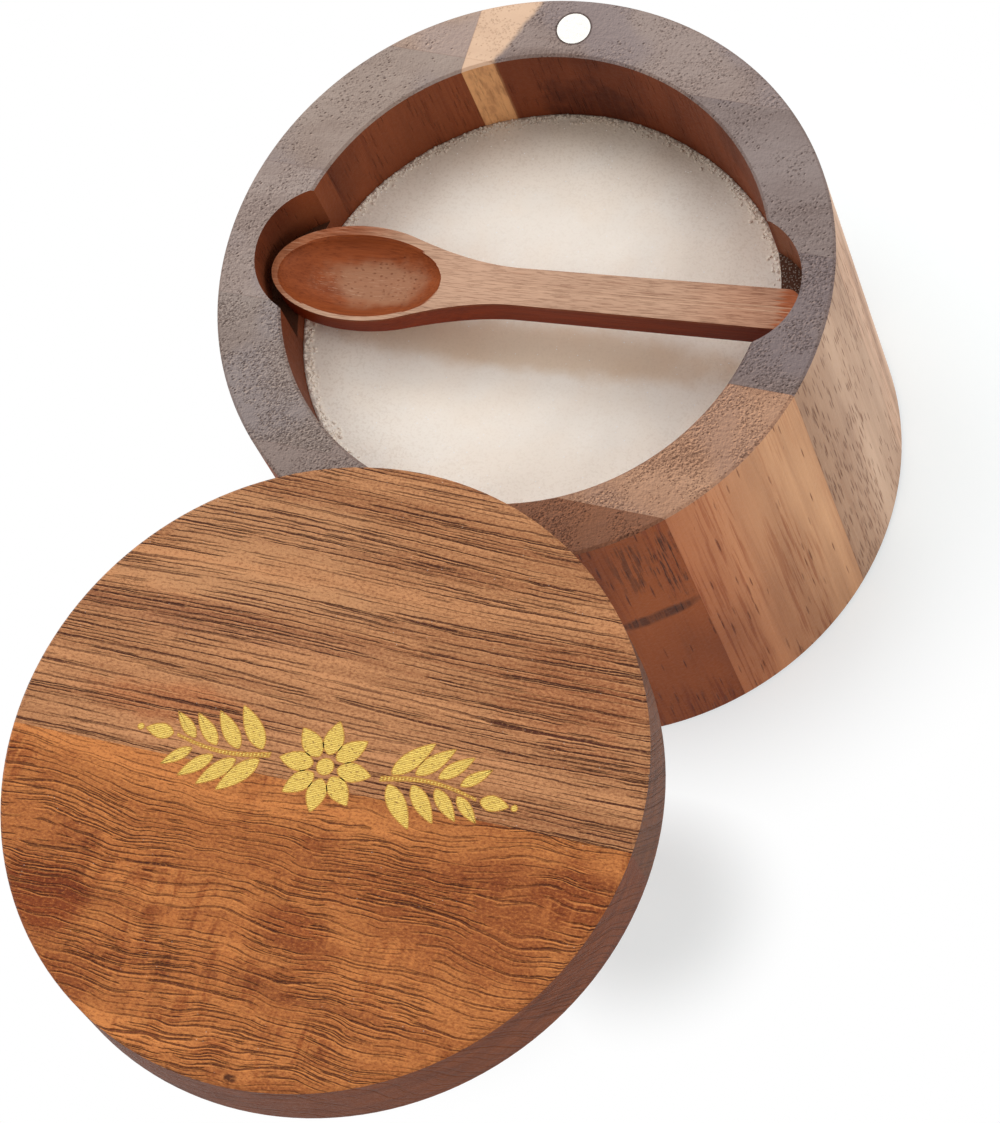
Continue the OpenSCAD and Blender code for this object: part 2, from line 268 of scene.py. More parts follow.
def drum_wood(name, block, colours):
    """Upright wood of one glued block: pitted end grain above, long grain on the walls."""
    f = Finish("wood_" + name)
    seed = block.seed
    p = f.point()
    x, y, z = f.split(p)
    rim_mid = toned(colours.end_grain, block.rim)
    wall_mid = toned(colours.outer_wood, block.wall)
    inner_mid = toned(colours.inner_wood, block.inner)

    cloud = f.noise(f.scaled(p, (0.05, 0.05, 0.02), (seed, seed, seed)), 2.0)
    years = f.noise(f.scaled(p, (0.05, 0.2, 0.006), (seed, 0.0, seed)), 3.0, 0.55, 0.4)
    fibre = f.noise(f.scaled(p, (2.4, 2.4, 0.07), (seed, seed, seed)), 2.0, 0.6)
    mottle = f.noise(f.scaled(p, (1.7, 1.7, 1.4), (seed, seed, seed)), 3.0, 0.7)
    mottle_lit = f.noise(f.scaled(p, (1.7, 1.7, 1.4), (seed - 0.2, seed + 0.2, seed)), 3.0, 0.7)

    end_tone = f.total(f.times(cloud, 0.5), f.times(years, 0.5))
    rim = f.ramp(end_tone, list(zip((0.4, 0.5, 0.6), tones(rim_mid, 1 - block.band * 0.5, 1.0, 1.14))))
    rim = f.mix(f.between(f.noise(f.scaled(p, (0.06, 0.06, 0.0), (seed + 5, 0, 0)), 1.0), 0.48, 0.6, 0.0, 0.8),
                rim, toned(rim_mid, (0.9, 0.94, 1.04)))
    rim_lit = toned(rim_mid, (1.55, 1.5, 1.45))
    if name in ("block_front", "block_right_lower"):
        grey = toned(colours.end_grain, (0.84, 0.82, 0.82))
        far_left = f.between(x, 0.0, -12.0)
        rim = f.mix(far_left, rim, grey)
        rim_lit = f.mix(far_left, rim_lit, toned(grey, (1.55, 1.5, 1.45)))
    turned = f.point((0.0, 0.0, 0.0), math.radians(38 + 9 * math.sin(seed)))
    cluster = f.between(f.noise(f.scaled(p, (0.13, 0.13, 0.0), (seed, 3.0, 0.0)), 2.0), 0.4, 0.58, 0.1, 1.4)
    big_share = f.times(cluster, block.pits * 0.7)
    fine_share = f.times(cluster, 0.2 + block.fine * 0.4)
    big = f.pits(f.scaled(turned, (1.25, 2.1, 0.0), (seed, seed, seed)), big_share, 0.12, 0.36)
    # Copies of the pits, shifted toward the light, paint a highlight on one side of each pit.
    big_lit = f.pits(f.scaled(turned, (1.25, 2.1, 0.0), (seed - 0.1, seed + 0.4, seed)), big_share, 0.12, 0.36)
    fine = f.pits(f.scaled(turned, (2.1, 3.0, 0.0), (seed, -seed, seed)), fine_share, 0.1, 0.42)
    fine_lit = f.pits(f.scaled(turned, (2.1, 3.0, 0.0), (seed, 0.4 - seed, seed)), fine_share, 0.1, 0.42)
    depth = 0.4 + 0.4 * block.fine
    holes = f.most(big, f.times(fine, depth))
    lit = f.most(big_lit, f.times(fine_lit, depth))
    # Painted light and shade: the shifted copies of the mottle and the pits paint a highlight on one side of the
    # relief and shade on the other.
    relief_shading_strength = f.math("MULTIPLY_ADD", cluster, block.fine * 2.2, 1.0 + 1.6 * block.fine)
    painted_relief_shading = f.times(f.math("SUBTRACT", mottle, mottle_lit), relief_shading_strength)
    rim = f.mix(f.math("MULTIPLY_ADD", painted_relief_shading, -1.0, f.times(lit, 0.6)), rim, rim_lit)
    rim = f.tinted(rim, painted_relief_shading, (0.4, 0.34, 0.32))
    rim = f.tinted(rim, f.times(holes, 0.9), (0.3, 0.24, 0.23))

    wall_tone = f.total(f.times(years, 0.45), f.times(cloud, 0.45), f.times(fibre, 0.1))
    places = (0.38, 0.5, 0.62)
    wall = f.ramp(wall_tone, list(zip(places, tones(wall_mid, 0.68, 1.0, 1.22))))
    inner = f.ramp(wall_tone, list(zip(places, tones(inner_mid, 0.7, 1.0, 1.25))))
    is_outer = f.between(f.reach(f.join(x, y, 0.0)), 43.0, 45.0)
    spread = f.join(f.times(f.math("ARCTAN2", y, x), 47.0), z, 0.0)
    smoke = f.most(f.times(f.between(f.noise(f.scaled(p, (0.05, 0.05, 0.03), (2.0, seed, 0.0)), 2.0), 0.5, 0.62), 0.6),
                   f.patch(p, (1.0, 37.0, 51.0), (8.0, 6.0, 9.0), 0.4))
    inner = f.tinted(inner, f.times(smoke, f.between(fibre, 0.3, 0.6, 0.5, 0.9)), (0.45, 0.36, 0.33))
    if block.pocket:
        # The pockets' walls are paler than the hollow's wall, partly painted light where the light reaches them, with
        # dark grain strokes.
        bitten = f.between(f.reach(f.join(x, y, 0.0)), 37.5, 38.0)
        grooved = f.pits(f.scaled(spread, (1.0, 0.09, 0.0)), 0.9, 0.06, 0.28)
        inner = f.mix(bitten, inner, f.tinted(toned(inner_mid, (1.25, 1.7, 2.3)), grooved, (0.35, 0.28, 0.24)))
    side = f.mix(is_outer, inner, wall)
    strand = f.noise(f.scaled(p, (2.0, 2.0, 0.05), (seed * 2, 0.0, seed)), 3.0, 0.65)
    gather = f.between(f.noise(f.scaled(spread, (0.13, 0.02, 0.0), (0.0, seed, seed)), 2.0), 0.42, 0.6, 0.1, 1.0)
    side = f.tinted(side, f.times(gather, f.between(strand, 0.46, 0.62, 0.1, 1.0), block.streaks), (0.62, 0.42, 0.32))
    dash_share = f.times(f.between(gather, 0.1, 0.8, 0.2, 0.9), block.dashes)
    if name == "block_right_middle":
        near_joint = f.between(f.split(spread)[0], -4.0, -17.0)
        side = f.tinted(side, near_joint, (0.8, 0.73, 0.66))
        dash_share = f.most(dash_share, f.times(near_joint, 0.8))
    if name == "block_right_lower":
        side = f.tinted(side, f.between(f.split(spread)[0], -20.0, -46.0), (0.74, 0.48, 0.36))
    dash = f.most(f.pits(f.scaled(spread, (1.3, 0.085, 0.0), (seed, seed, 0.0)), f.times(dash_share, 0.8), 0.06, 0.26),
                  f.pits(f.scaled(spread, (2.1, 0.15, 0.0), (seed, 2.0, 0.0)), dash_share, 0.1, 0.3))
    side = f.tinted(side, f.times(dash, f.math("MULTIPLY_ADD", is_outer, 0.65, 0.2)), (0.4, 0.26, 0.2))

    along, across, _ = f.split(f.point((0.0, 0.0, 0.0), JOINT_TURN))
    if name == "block_front":
        side = f.tinted(side, f.between(z, 42.0, 18.0), (0.8, 0.74, 0.7))
        knot = f.patch(spread, (-51.0, 38.6, 0.0), (9.5, 1.7, 1.0), 0.22)
        burn = f.most(f.patch(spread, (-45.6, 53.0, 0.0), (2.6, 12.0, 1.0), 0.3),
                      f.times(f.patch(spread, (-50.5, 57.0, 0.0), (3.0, 9.0, 1.0), 0.3), 0.7))
        burn = f.times(burn, f.between(f.noise(f.scaled(p, (2.3, 2.3, 0.09)), 3.0, 0.7), 0.48, 0.58))
        side = f.tinted(side, f.most(f.times(knot, f.between(fibre, 0.3, 0.6, 0.6, 1.0)), burn), (0.3, 0.28, 0.3))
    if name in ("block_back", "block_right_upper"):
        ex, ey, _ = f.split(f.scaled(p, (-0.881, 0.472, 0.0), (-26.88, 0.0, 0.0)))
        ragged = f.times(f.math("SUBTRACT", f.noise(f.scaled(p, (0.5, 0.5, 0.01)), 2.0), 0.5), 1.6)
        pale = f.between(f.total(ex, ey, ragged), -0.6, 0.5)
        if name == "block_right_upper":
            pale = f.between(x, -7.0, -8.5)
        bright = f.ramp(end_tone, list(zip((0.4, 0.5, 0.6), tones(colours.sapwood, 0.86, 1.0, 1.06))))
        rim = f.mix(pale, rim, f.tinted(bright, f.times(fine, 0.4), (0.7, 0.55, 0.45)))
        pale_wall = f.ramp(f.noise(f.scaled(p, (0.9, 0.9, 0.25)), 3.0, 0.6), list(zip((0.38, 0.5, 0.62), tones(
            toned(colours.sapwood, (0.98, 0.73, 0.45)), 0.78, 1.0, 1.1))))
        side = f.mix(pale, side, pale_wall)
        ring = f.reach(f.scaled(f.point(MAGNET), (1.0, 1.0, 0.0)))
        rim = f.tinted(rim, f.between(ring, 3.0, 2.7), (0.35, 0.3, 0.28))

    up = f.upward()
    # Level faces more than a few millimetres below the rim, the pockets' floors among them, are painted dark as shade,
    # with pale specks.
    dust = f.pits(f.scaled(p, (2.4, 2.4, 0.0)), f.between(x, 0.0, 30.0, 0.0, 0.9), 0.1, 0.36)
    shaded_ledge_wood = f.mix(f.times(dust, 0.6), toned(inner_mid, (0.32, 0.4, 0.5)), (0.5, 0.44, 0.37))
    rim = f.mix(f.between(z, RIM_Z / MM - 2.0, RIM_Z / MM - 4.0), rim, shaded_ledge_wood)
    # Painted shade: the eased edges of the rim are darkened.
    rim = f.tinted(rim, f.times(f.between(up, 0.62, 0.68), f.between(up, 0.98, 0.8), 0.35), (0.74, 0.62, 0.56))
    level = f.between(up, 0.55, 0.65)
    colour = f.mix(level, side, rim)
    joint = f.math("ABSOLUTE", f.math("SUBTRACT", f.math("WRAP", across, JOINT_PITCH, 0.0), JOINT_PITCH / 2))
    joint = f.math("MINIMUM", joint, f.math("ABSOLUTE", f.math("SUBTRACT", along, CROSS_JOINT)))
    colour = f.tinted(colour, f.between(joint, 0.16, 0.04, 0.0, 0.22), (0.55, 0.4, 0.34))
    holes = f.times(holes, level)
    dash = f.times(dash, f.math("SUBTRACT", 1.0, level))
    height = f.total(f.times(fibre, 0.12), f.times(mottle, 0.6), f.times(f.total(holes, dash), -1.0))
    return f.finish(colour, f.between(mottle, 0.3, 0.7, 0.6, 0.75), f.bump(height, 0.7, 0.00025),
                    Specular_IOR_Level=0.22)


def board_wood(name, colour, seed, figured):
    """Flat-sawn lid board: fine open pores, tonal bands, and a wavy figure if asked for."""
    f = Finish(name)
    p = f.point(lid_centre(), LID_GRAIN)
    along, across, z = f.split(p)

    def swing(x_scale, y_scale, amount, shift):
        wave = f.noise(f.scaled(p, (x_scale, y_scale, y_scale), (shift, seed, 0.0)), 1.0)
        return f.times(f.math("SUBTRACT", wave, 0.5), amount)

    line = f.total(across, f.times(z, 0.55), swing(0.011, 0.03, 5.0, 1.0), swing(0.4, 0.8, 0.3, 2.0))
    if figured:
        line = f.total(line, swing(0.035, 0.045, 9.0, 3.0), swing(0.12, 0.08, 2.2, 4.0))

    def lines(freq, length, shift, detail=1.0):
        return f.noise(f.join(f.times(line, freq), f.times(along, length), shift + seed + 0.37), detail, 0.6)

    def strokes(freq, length, shift, width):
        """Thin pores along the grain, broken into strokes, and a painted highlight beside each."""
        drift = f.math("MULTIPLY_ADD", lines(freq * 0.45, length, shift, 0.0), 1.5, f.times(line, freq))
        kept = f.between(lines(freq * 1.1, length * 2.4, shift + 31.0), 0.46, 0.53)

        def drawn(move):
            near = f.math("SUBTRACT", f.math("WRAP", f.math("ADD", drift, move), 1.0, 0.0), 0.5)
            return f.times(f.between(f.math("ABSOLUTE", near), width, width * 0.4), kept)
        return drawn(0.0), drawn(width * 1.3)

    def place(centre, size, amount=1.0):
        return f.times(f.patch(p, (*centre, 0.0), (*size, 40.0), 0.4, 0.12), amount)

    broad = lines(0.16, 0.008, 0.0)
    bands = lines(0.6, 0.02, 3.0, 3.0)
    fibre = lines(4.0, 0.15, 5.0, 2.0)
    mottle = f.noise(f.scaled(p, (1.7, 2.9, 2.9), (seed, 0.0, 0.0)), 3.0, 0.7)
    tone = f.total(f.times(broad, 0.35), f.times(bands, 0.3), f.times(fibre, 0.15), f.times(mottle, 0.2))
    wood = f.ramp(tone, list(zip((0.38, 0.46, 0.53, 0.6), (toned(colour, k) for k in (
        (0.66, 0.56, 0.53), (0.9, 0.83, 0.78), (1.08, 1.1, 1.1), (1.45, 1.52, 1.56))))))
    if figured:
        cloud = f.noise(f.scaled(p, (0.07, 0.085, 0.05), (seed, 0.0, 0.0)), 4.0, 0.62, 0.9)
        smoke = f.between(cloud, 0.54, 0.68, 0.0, 0.7)
        for patch in (place((-33.5, -25.0), (6.5, 6.5)), place((41.0, -10.5), (8.0, 5.0), 0.8),
                      place((4.0, -23.0), (7.0, 3.2), 0.8), place((26.0, -16.0), (17.0, 10.0), 0.6)):
            smoke = f.most(smoke, patch)
        wood = f.tinted(wood, smoke, (0.5, 0.31, 0.22))
        curl = f.noise(f.scaled(p, (0.42, 0.09, 0.09), (seed, 2.0, 0.0)), 2.0, 0.6, 0.5)
        where = f.between(f.noise(f.scaled(p, (0.045, 0.07, 0.0), (0.0, seed, 0.0)), 1.0), 0.46, 0.6)
        # The curl's dark and light bands are partly the wood's figure and partly painted sheen.
        wood = f.tinted(wood, f.times(f.between(curl, 0.52, 0.62), where, 0.7), (0.62, 0.44, 0.34))
        wood = f.mix(f.times(f.between(curl, 0.46, 0.38), where, 0.35), wood, toned(colour, (1.5, 1.5, 1.45)))
        knot = f.reach(f.scaled(p, (0.9, 1.6, 0.0), (-1.26, 73.1, 0.0)))
        wood = f.tinted(wood, f.between(knot, 1.3, 0.5), (0.2, 0.16, 0.16))
        crowd = f.between(f.noise(f.scaled(p, (0.05, 0.11, 0.0), (7.0, seed, 0.0)), 2.0), 0.4, 0.62, 0.3, 1.0)
    else:
        pale = place((-18.0, 24.5), (26.0, 3.0), 0.6)
        wood = f.mix(f.most(pale, place((-20.0, 33.5), (20.0, 6.0), 0.6)), wood, toned(colour, (1.4, 1.6, 1.75)))
        wood = f.tinted(wood, place((-24.0, 5.4), (16.0, 3.0), 0.7), (0.85, 0.62, 0.5))
        wood = f.tinted(wood, place((33.0, 19.0), (11.0, 9.0), 0.7), (0.82, 0.66, 0.58))
        purple = place((-22.0, 18.8), (24.0, 2.8), 0.8)
        crowd = f.between(bands, 0.58, 0.42, 0.35, 1.0)
        crowd = f.times(f.most(crowd, purple), f.math("MULTIPLY_ADD", pale, -0.2, 1.0))
        wood = f.tinted(wood, f.times(purple, 0.6), (0.72, 0.62, 0.68))
    short, ink = (2.0, 0.85) if figured else (1.0, 1.0)
    pore = edge = 0.0
    for freq, along_step, shift, width, crowds in (
            (0.6, 0.02, 9.0, 0.08, (0.1, 0.7, 0.5, 1.0)), (1.1, 0.03, 13.0, 0.125, (0.0, 0.8, 0.1, 1.0)),
            (1.8, 0.045, 17.0, 0.18, (0.45, 1.0, 0.0, 0.8))):
        amount = f.between(crowd, *crowds)
        dark, bright = strokes(freq, along_step * short, shift, width)
        pore = f.most(pore, f.times(dark, amount))
        edge = f.most(edge, f.times(bright, amount))
    wood = f.tinted(wood, f.times(f.between(crowd, 0.5, 1.0), f.between(fibre, 0.48, 0.62), 0.3), (0.62, 0.5, 0.48))
    # Painted highlight beside each pore.
    wood = f.mix(f.times(edge, 0.6), wood, toned(colour, (1.8, 1.95, 2.0)))
    wood = f.tinted(wood, f.times(pore, ink), (0.18, 0.1, 0.1))
    wood = f.tinted(wood, f.between(mottle, 0.5, 0.36, 0.0, 0.65), (0.6, 0.48, 0.42))
    wood = f.mix(f.between(mottle, 0.52, 0.66, 0.0, 0.35), wood, toned(colour, (1.6, 1.75, 1.8)))
    glint = f.pits(f.scaled(p, (1.0, 1.6, 1.6)), 0.04, 0.05, 0.1)
    wood = f.mix(f.times(glint, f.between(crowd, 0.5, 1.0), 0.7), wood, (0.85, 0.72, 0.62))

    drawn = f.noise(f.join(f.times(z, 0.7), f.times(along, 0.12), f.times(across, 0.12)), 3.0, 0.6)
    # The sides are much darker than the top: partly their end grain, partly painted shade.
    side = f.ramp(drawn, list(zip((0.36, 0.5, 0.64), tones(toned(colour, (0.34, 0.23, 0.15)), 0.8, 1.0, 1.2))))
    up = f.upward()
    wood = f.mix(f.between(up, 0.55, 0.65), side, wood)
    height = f.total(f.times(fibre, 0.25), f.times(mottle, 0.5), f.times(pore, -1.0))
    return f.finish(wood, f.between(mottle, 0.3, 0.7, 0.45, 0.6), f.bump(height, 0.9, 0.0004),
                    Specular_IOR_Level=0.15)


def spoon_wood(colour):
    """Close-grained wood of the spoon: pale on top, partly painted sheen; redder and darker on its sides and in the
    scoop, partly painted shade.
    """
    f = Finish("wood_spoon")
    p = f.point((0.0, 0.0, SPOON_HIGH.z), math.radians(-0.8))
    x, y, z = f.split(p)
    fibre = f.noise(f.scaled(p, (0.12, 3.4, 3.4)), 3.0, 0.65)
    broad = f.noise(f.scaled(p, (0.035, 0.5, 0.5)), 2.0)
    tone = f.total(f.times(fibre, 0.55), f.times(broad, 0.45))
    top = f.ramp(tone, list(zip((0.4, 0.5, 0.6), tones(colour, 0.84, 1.0, 1.08))))
    # A darker red copy of the wood for the sides and the scoop: partly painted shade.
    red = toned(colour, (0.52, 0.2, 0.08))
    shaded_below = f.ramp(tone, list(zip((0.38, 0.5, 0.62), tones(red, 0.78, 1.0, 1.22))))
    up = f.split(f.add("ShaderNodeTexCoord").outputs["Normal"])[2]
    flat = f.between(up, 0.9, 0.99)
    tip = f.between(f.total(x, f.times(y, -0.9)), -27.0, -38.0)
    top = f.tinted(top, tip, (0.74, 0.42, 0.27))
    neck = f.times(f.between(x, -18.0, -11.0), f.between(x, 8.0, -6.0), 0.6)
    top = f.mix(neck, top, toned(colour, (1.2, 1.22, 1.24)))
    top = f.tinted(top, f.times(f.between(x, -15.0, -26.0), f.between(y, 5.5, 7.0), 0.7), (0.72, 0.56, 0.46))
    # Darker still low on the sides: painted shade.
    sides = f.tinted(shaded_below, f.times(f.between(z, -0.2, -0.8), f.between(up, 0.4, 0.0)), (0.8, 0.42, 0.12))
    wood = f.mix(f.times(flat, f.between(z, -0.5, -0.25)), sides, top)
    # Painted light: the floor of the scoop is lighter than its walls, with specks of torn grain.
    lit_scoop_floor = f.patch(p, (-24.5, 0.3, -4.0), (8.5, 4.2, 9.0), 0.3)
    wood = f.mix(f.times(lit_scoop_floor, f.between(z, -0.3, -1.6), 0.75), wood, toned(colour, (0.78, 0.66, 0.56)))
    # Painted shadow of the rim on the handle's end: warm, with a ragged edge.
    rim_shadow_edge = f.total(x, f.times(f.math("SUBTRACT", fibre, 0.5), 9.0))
    wood = f.tinted(wood, f.times(f.between(rim_shadow_edge, 37.4, 39.2), 0.9), (0.85, 0.42, 0.2))
    scratch = f.noise(f.scaled(p, (0.3, 5.5, 5.5), (4.0, 0.0, 0.0)), 2.0, 0.6)
    groove = f.times(f.between(scratch, 0.54, 0.64), f.between(z, -0.6, -0.2))
    pair = f.math("ABSOLUTE", f.math("SUBTRACT", f.math("ABSOLUTE", f.math("SUBTRACT", y, 0.15)), 0.35))
    scored = f.times(f.between(pair, 0.16, 0.05), f.between(x, -12.0, -6.0), f.between(z, -0.6, -0.2))
    wood = f.tinted(wood, f.between(x, 20.0, 36.0), (0.9, 0.76, 0.7))
    speck = f.pits(f.scaled(p, (1.0, 2.2, 0.0)), f.times(lit_scoop_floor, 0.45), 0.1, 0.3)
    wood = f.tinted(wood, f.times(f.most(speck, f.times(groove, 0.45)), 0.75), (0.55, 0.38, 0.32))
    wood = f.mix(f.times(f.most(scored, f.times(f.between(scratch, 0.42, 0.34), 0.5)), flat, 0.5), wood,
                 toned(colour, (1.4, 1.45, 1.45)))
    wood = f.tinted(wood, f.between(fibre, 0.44, 0.32, 0.0, 0.3), (0.66, 0.48, 0.4))
    height = f.total(f.times(fibre, 0.4), f.times(scored, 0.5), f.times(f.most(speck, groove), -1.0))
    return f.finish(wood, 0.5, f.bump(height, 0.5, 0.00025), Specular_IOR_Level=0.15)


def salt_finish(colour):
    """Small clear crystals, cream in the mass, with painted glints here and there."""
    f = Finish("salt_crystals")
    p = f.point()
    gap, pick = f.cells(f.scaled(p, (2.6, 2.6, 2.6)))
    soft = f.noise(f.scaled(p, (1.0, 1.0, 1.0)), 3.0, 0.75)
    cloud = f.noise(f.scaled(p, (0.1, 0.1, 0.1)), 2.0)
    chance, lean, _ = f.split(pick)
    white = f.mix(f.between(cloud, 0.36, 0.64), toned(colour, (1.0, 0.985, 0.97)), toned(colour, (1.0, 1.01, 1.02)))
    x, y, _ = f.split(p)
    from_middle = f.reach(f.join(x, y, 0.0))
    coarse = f.between(from_middle, 20.0, 36.0, 0.35, 1.0)
    grit = f.noise(f.scaled(p, (2.6, 2.6, 2.6)), 1.0)
    white = f.tinted(white, f.times(f.between(f.total(f.times(grit, 0.6), f.times(soft, 0.4)), 0.52, 0.38), coarse, 0.5),
                     (0.82, 0.78, 0.74))
    # Painted shade on the salt along the back wall, strongest at the left.
    painted_wall_shade = f.times(f.between(from_middle, 25.0, 37.0), f.between(y, 11.0, 33.0), f.between(x, 30.0, 12.0, 0.45, 0.95))
    white = f.tinted(white, painted_wall_shade, (0.54, 0.49, 0.44))
    # Painted shadow of the spoon on the salt, warm like light bounced from its wood.
    white = f.tinted(white, f.patch(p, (0.0, -3.8, 50.0), (37.0, 4.4, 12.0), 0.15), (0.86, 0.75, 0.64))
    # Painted glints: a few crystals are set to pure white.
    painted_glint = f.times(f.between(gap, 0.3, 0.1), f.between(chance, 0.955, 0.965))
    white = f.mix(painted_glint, white, (1.0, 1.0, 1.0))
    height = f.total(f.times(gap, -0.5), f.times(lean, 0.25), f.times(soft, 0.6))
    return f.finish(white, f.between(chance, 0.85, 0.95, 0.65, 0.3), f.bump(height, 0.25, 0.0002),
                    Specular_IOR_Level=0.35)


def metal(name, colour, roughness, metallic=1.0):
    f = Finish(name)
    p = f.point()
    worn = f.noise(f.scaled(p, (1.6, 1.6, 1.6)), 3.0, 0.6)
    tint = f.mix(f.between(worn, 0.4, 0.7), colour, toned(colour, (0.9, 0.9, 0.9)))
    return f.finish(tint, f.between(worn, 0.3, 0.7, roughness * 0.8, roughness * 1.25),
                    f.bump(worn, 0.12, 0.00005), Metallic=metallic)


def gilt(name, colour, dark):
    """Gold laid in engraved wood: a fine hatch, worn through in specks."""
    f = Finish(name)
    p = f.point(lid_centre(), LID_GRAIN)
    hatch = f.add("ShaderNodeTexWave", {"Vector": f.scaled(p, (0.25, 1.0, 0.0)), "Scale": 1.2, "Distortion": 2.4,
                                        "Detail": 2.0, "Detail Scale": 2.0},
                  bands_direction="Y").outputs["Fac"]
    speck = f.noise(f.scaled(p, (1.6, 3.4, 0.0)), 3.0, 0.75)
    grit = f.noise(f.scaled(p, (3.0, 3.0, 0.0)), 2.0, 0.7)
    gold = f.mix(f.between(f.total(f.times(hatch, 0.5), f.times(grit, 0.5)), 0.3, 0.72),
                 toned(colour, (0.66, 0.55, 0.34)), toned(colour, (1.12, 1.16, 1.5)))
    gold = f.mix(f.between(speck, 0.55, 0.64, 0.0, dark), gold, shade(112, 66, 22))
    height = f.total(hatch, f.times(grit, 0.8))
    return f.finish(gold, 0.4, f.bump(height, 0.4, 0.00012), Metallic=0.35)


def wear(piece, material):
    """Gives every material slot of a piece the same finish."""
    slots = piece.data.materials
    if len(slots) == 0:
        slots.append(material)
    for index in range(len(slots)):
        slots[index] = material


def piece_from(name, bm, materials, body, smooth=True):
    """Turns a bmesh into a finished piece that rides on a body."""
    bmesh.ops.recalc_face_normals(bm, faces=bm.faces)
    mesh = bpy.data.meshes.new(name)
    bm.to_mesh(mesh)
    bm.free()
    for face in mesh.polygons:
        face.use_smooth = smooth
    piece = bpy.data.objects.new(name, mesh)
    bpy.context.scene.collection.objects.link(piece)
    for material in materials:
        mesh.materials.append(material)
    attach(piece, body)
    return piece


def length(name, about, value, **more):
    return bpy.props.FloatProperty(name=name, description=about, default=value * MM, unit="LENGTH", **more)


def angle(name, about, value):
    return bpy.props.FloatProperty(name=name, description=about, default=math.radians(value), subtype="ANGLE")


def tint(name, about, *value):
    return bpy.props.FloatVectorProperty(name=name, description=about, default=shade(*value), size=3,
                                         subtype="COLOR", min=0.0, max=1.0)


class SaltBoxColours(bpy.types.PropertyGroup):
    end_grain: tint("End grain", "Middle tone of the drum's rim", 157, 141, 133)
    outer_wood: tint("Outer wood", "Middle tone of the drum's outer wall", 181, 142, 111)
    inner_wood: tint("Inner wood", "Middle tone of the hollow's wall", 134, 69, 37)
    sapwood: tint("Sapwood", "Pale strip in the back block", 221, 186, 157)
    lid_straight: tint("Straight board", "Middle tone of the lid's straight-grained board", 174, 119, 79)
    lid_figured: tint("Figured board", "Middle tone of the lid's figured board", 180, 110, 58)
    spoon: tint("Spoon", "Middle tone of the spoon's top face", 190, 151, 125)
    salt: tint("Salt", "Colour of the salt", 255, 246, 233)
    gold: tint("Gold", "Colour of the gilt ornament", 222, 190, 84)
    nickel: tint("Nickel", "Colour of the magnets", 226, 224, 218)
    brass: tint("Brass", "Colour of the pin's sleeve", 226, 196, 134)
    steel: tint("Steel", "Colour of the lid pin", 202, 203, 207)


class SaltBoxSpoon(bpy.types.PropertyGroup):
    bowl_length: length("Bowl length", "Length of the bowl's oval", 28)
    bowl_width: length("Bowl width", "Width of the bowl's oval", 15.9)
    scoop_width: length("Scoop width", "Width of the scooped hollow", 13.5)
    scoop_depth: length("Scoop depth", "Depth of the scooped hollow", 4.1)
    scoop_shift: length("Scoop shift", "Offset of the scoop from the spoon's middle line", -0.45)
    rim_width: length("Rim width", "Width of the rim at the tip", 1.1)
    neck_width: length("Neck width", "Width of the handle at the neck", 6.2)
    end_width: length("End width", "Width of the handle at its end", 6.7)
    neck_length: length("Neck length", "Length of the blend from bowl to handle", 17)
    turn: angle("Turn", "Turn of the spoon about the vertical", -0.8)
    offset: length("Offset", "Offset of the spoon toward the magnet", 0.3)


class SaltBoxSalt(bpy.types.PropertyGroup):
    drop: length("Drop", "Level of the salt below the rim", 17.1)
    fall_x: bpy.props.FloatProperty(name="Fall to the right", description="Slope of the salt to the right",
                                    default=0.091)
    fall_y: bpy.props.FloatProperty(name="Fall to the magnet", description="Slope of the salt to the magnet",
                                    default=0.041)
    grain: length("Grain", "Size of one loose grain", 0.72)


class SaltBoxOrnament(bpy.types.PropertyGroup):
    span: length("Span", "Length of the ornament across the lid", 58)
    stem: length("Stem", "Width of the stems", 0.9)
    leaf: length("Leaf", "Length of the largest leaves", 7.6)
    rosette: length("Rosette", "Diameter of the flower in the middle", 14)
    relief: length("Relief", "Height of the gilding above the wood", 0.02)


class SaltBoxStage(bpy.types.PropertyGroup):
    azimuth: angle("Camera azimuth", "Direction of the camera from the box, from +X", -52.889)
    elevation: angle("Camera elevation", "Height of the camera above the horizon", 62.553)
    roll: angle("Camera roll", "Turn of the camera about its own view", -28.75)
    distance: length("Camera distance", "Distance from the point that the camera looks at", 672.21)
    look_at: bpy.props.FloatVectorProperty(name="Look at", description="Point that the camera looks at",
                                           default=(0.00571, -0.04619, 0.0668), size=3, subtype="TRANSLATION")
    lens: bpy.props.FloatProperty(name="Lens", description="Focal length of the camera", default=149.33,
                                  unit="CAMERA")


class SALTBOX_OT_drum(bpy.types.Operator):
    """Give each glued block of the drum its own piece of wood"""

    bl_idname = "saltbox.drum"
    bl_label = "Drum"

    def execute(self, context):
        for name, block in BLOCKS.items():
            wear(NODES[name], drum_wood(name, block, context.scene.saltbox_colours))
        return {"FINISHED"}


class SALTBOX_OT_lid(bpy.types.Operator):
    """Give the two boards of the lid their woods"""

    bl_idname = "saltbox.lid"
    bl_label = "Lid"

    def execute(self, context):
        colours = context.scene.saltbox_colours
        wear(NODES["lid_board_pin_side"], board_wood("wood_lid_straight", colours.lid_straight, 2.0, False))
        wear(NODES["lid_board_magnet_side"], board_wood("wood_lid_figured", colours.lid_figured, 31.0, True))
        return {"FINISHED"}


